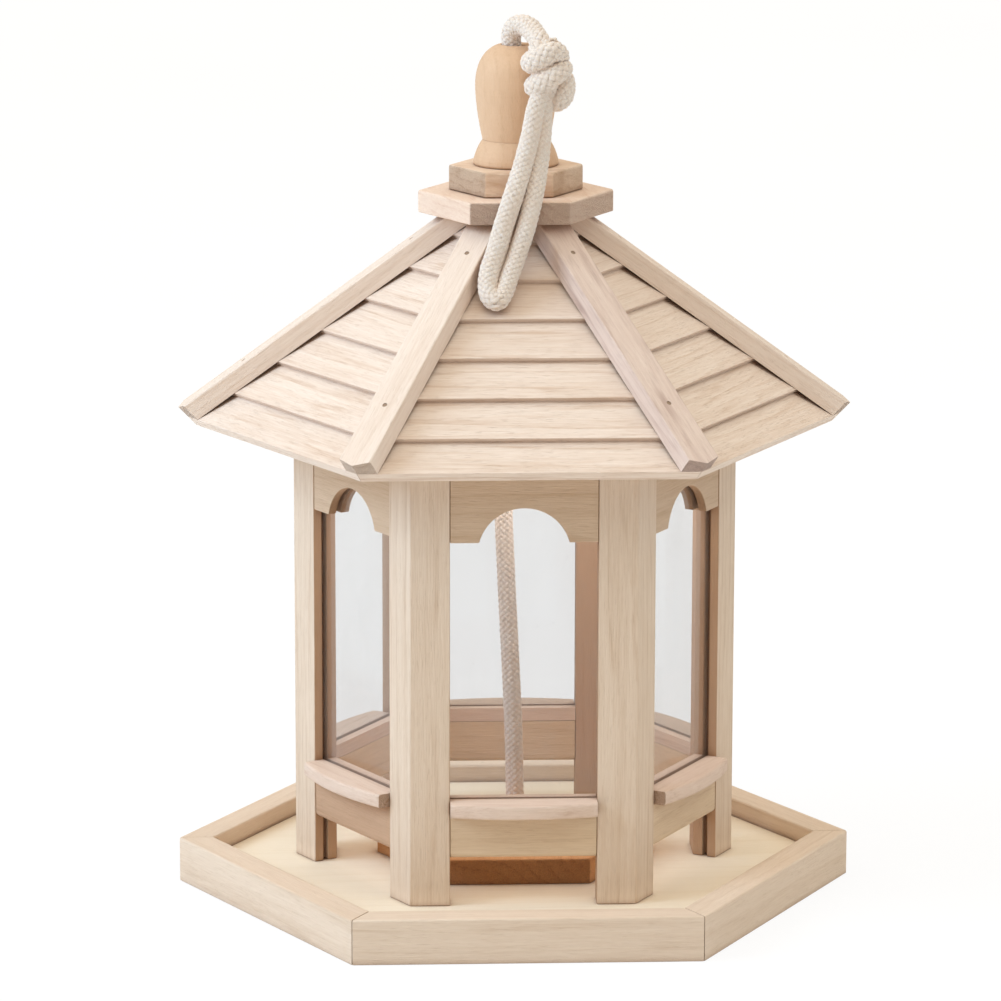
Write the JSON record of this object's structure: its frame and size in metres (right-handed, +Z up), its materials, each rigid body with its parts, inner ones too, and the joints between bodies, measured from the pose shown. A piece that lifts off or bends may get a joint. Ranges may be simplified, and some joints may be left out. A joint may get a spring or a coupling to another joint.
{
  "type": "hanging bird feeder",
  "caption": "Hexagonal wooden hanging bird feeder with a rimmed base tray, corner posts, clear panes, arched boards, a lapped roof with hip ribs, a turned finial and a rope loop.",
  "frame": {"origin": "centre of the underside of the base", "axes": "+Z up along the rope, one flat side of the hexagon facing -Y, corners on +X and -X"},
  "size_m": [0.21, 0.1818, 0.2724],
  "materials": {
    "pale_wood": "bare planed pale softwood-like hardwood",
    "floor_wood": "bare sanded pale panel",
    "turned_wood": "turned and fine sanded",
    "clear_sheet": "clear polished sheet",
    "cotton_rope": "braided natural cotton",
    "steel_brad": "dull headless brad ends"
  },
  "bodies": {
    "base": {"floor_panel": "floor_wood", "rim_rail_front": "pale_wood", "rim_rail_front_right": "pale_wood", "rim_rail_rear_right": "pale_wood", "rim_rail_rear": "pale_wood", "rim_rail_rear_left": "pale_wood", "rim_rail_front_left": "pale_wood", "rope_anchor_block": "pale_wood", "post_right": "pale_wood", "post_rear_right": "pale_wood", "post_rear_left": "pale_wood", "post_left": "pale_wood", "post_front_left": "pale_wood", "post_front_right": "pale_wood", "apron_front": "pale_wood", "apron_front_right": "pale_wood", "apron_rear_right": "pale_wood", "apron_rear": "pale_wood", "apron_rear_left": "pale_wood", "apron_front_left": "pale_wood", "seat_front": "pale_wood", "seat_front_right": "pale_wood", "seat_rear_right": "pale_wood", "seat_rear": "pale_wood", "seat_rear_left": "pale_wood", "seat_front_left": "pale_wood", "pane_front": "clear_sheet", "pane_front_right": "clear_sheet", "pane_rear_right": "clear_sheet", "pane_rear": "clear_sheet", "pane_rear_left": "clear_sheet", "pane_front_left": "clear_sheet", "arch_board_front": "pale_wood", "arch_board_front_right": "pale_wood", "arch_board_rear_right": "pale_wood", "arch_board_rear": "pale_wood", "arch_board_rear_left": "pale_wood", "arch_board_front_left": "pale_wood", "rope_drop": "cotton_rope", "rope_stopper_knot": "cotton_rope"},
    "roof": {"roof_panel_front": "pale_wood", "roof_panel_front_right": "pale_wood", "roof_panel_rear_right": "pale_wood", "roof_panel_rear": "pale_wood", "roof_panel_rear_left": "pale_wood", "roof_panel_front_left": "pale_wood", "roof_rib_right": "pale_wood", "roof_rib_rear_right": "pale_wood", "roof_rib_rear_left": "pale_wood", "roof_rib_left": "pale_wood", "roof_rib_front_left": "pale_wood", "roof_rib_front_right": "pale_wood", "rib_brads": "steel_brad", "lower_cap_plate": "pale_wood", "upper_cap_plate": "pale_wood", "finial": "turned_wood", "rope_neck": "cotton_rope"},
    "loop_knot": {"rope_loop_knot": "cotton_rope"},
    "hanging_loop": {"rope_loop": "cotton_rope"}
  },
  "joints": [
    {"name": "roof_lift", "type": "slide", "parent": "base", "child": "roof", "axis": [0, 0, 1], "range_m": [0, 0.02]},
    {"name": "knot_swing", "type": "hinge", "parent": "roof", "child": "loop_knot", "pos_m": [0, 0, 0.268], "axis": [-0.9324, -0.3614, 0], "range_deg": [0, 138.57]},
    {"name": "loop_swing", "type": "hinge", "parent": "loop_knot", "child": "hanging_loop", "pos_m": [0.0081, -0.0209, 0.2426], "axis": [-0.5211, -0.7331, 0.4371], "range_deg": [0, 33.95]}
  ],
  "couplings": [
    {"joint": "loop_swing", "follows": "knot_swing", "ratio": 0.2429}
  ]
}
